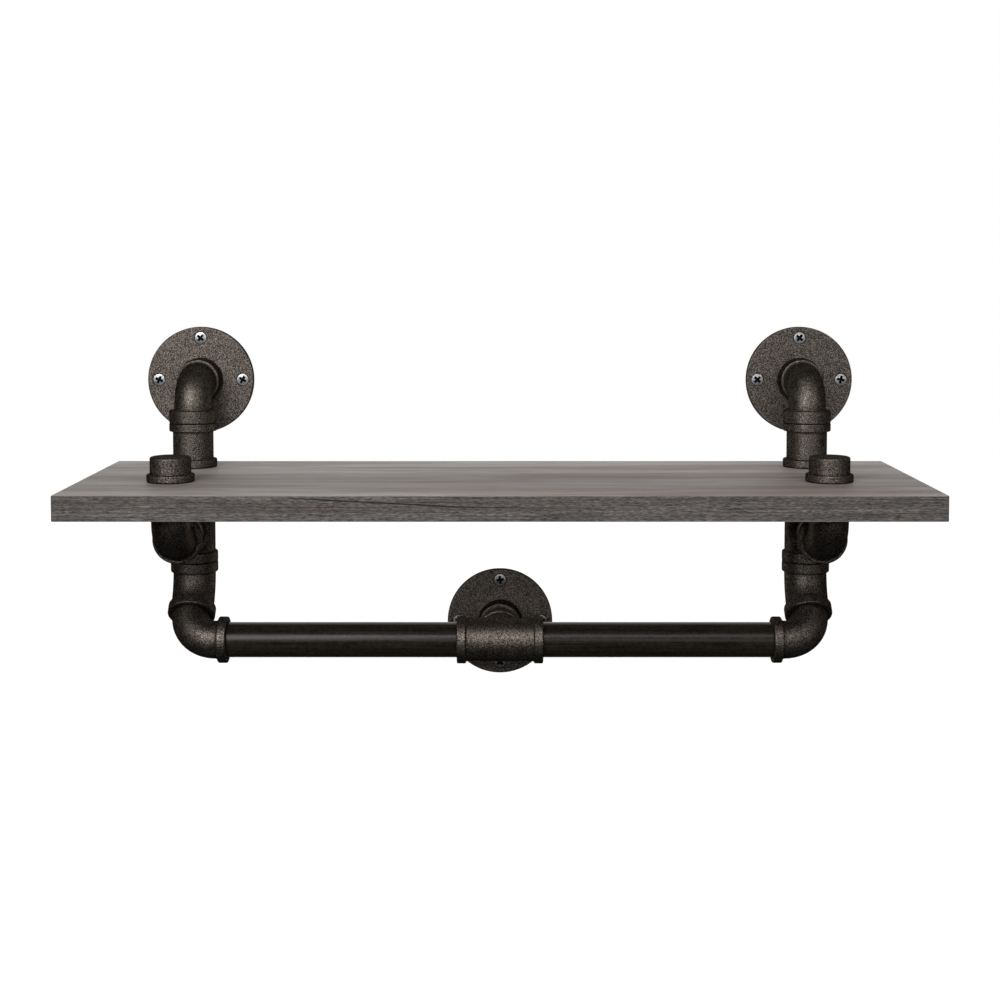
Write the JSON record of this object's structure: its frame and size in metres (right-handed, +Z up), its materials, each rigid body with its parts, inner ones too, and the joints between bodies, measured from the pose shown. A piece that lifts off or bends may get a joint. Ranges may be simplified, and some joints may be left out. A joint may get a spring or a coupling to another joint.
{
  "type": "floating wall shelf",
  "caption": "Wall shelf: a weathered board carried on columns of threaded pipe fittings that hang from wall flanges, with a pipe towel bar below.",
  "frame": {"origin": "centre of the middle flange's back, on the wall plane, level with the towel bar", "axes": "+X along the wall to the right, +Y into the wall, +Z up; the front faces -Y"},
  "size_m": [0.6096, 0.2338, 0.2781],
  "materials": {
    "cast_fittings": "sand-cast, black with a bronze tone",
    "pipe": "satin black lacquer",
    "screws": "bright zinc",
    "board": "weathered grey-brown grain, matt"
  },
  "bodies": {
    "root": {"shelf_board": "board", "centre_flange": "cast_fittings", "centre_nipple": "pipe", "centre_tee": "cast_fittings", "left_wall_flange": "cast_fittings", "left_upper_elbow": "cast_fittings", "left_close_nipple": "pipe", "left_coupling": "cast_fittings", "left_through_nipple": "pipe", "left_column_tee": "cast_fittings", "left_lower_nipple": "pipe", "left_drop_elbow": "cast_fittings", "left_bar_elbow": "cast_fittings", "left_branch_nipple": "pipe", "left_front_elbow": "cast_fittings", "left_post_nipple": "pipe", "left_post_cap": "cast_fittings", "left_towel_bar": "pipe", "right_wall_flange": "cast_fittings", "right_upper_elbow": "cast_fittings", "right_close_nipple": "pipe", "right_coupling": "cast_fittings", "right_through_nipple": "pipe", "right_column_tee": "cast_fittings", "right_lower_nipple": "pipe", "right_drop_elbow": "cast_fittings", "right_bar_elbow": "cast_fittings", "right_branch_nipple": "pipe", "right_front_elbow": "cast_fittings", "right_post_nipple": "pipe", "right_post_cap": "cast_fittings", "right_towel_bar": "pipe", "left_wall_screws": "screws", "right_wall_screws": "screws", "centre_wall_screws": "screws"}
  },
  "joints": []
}
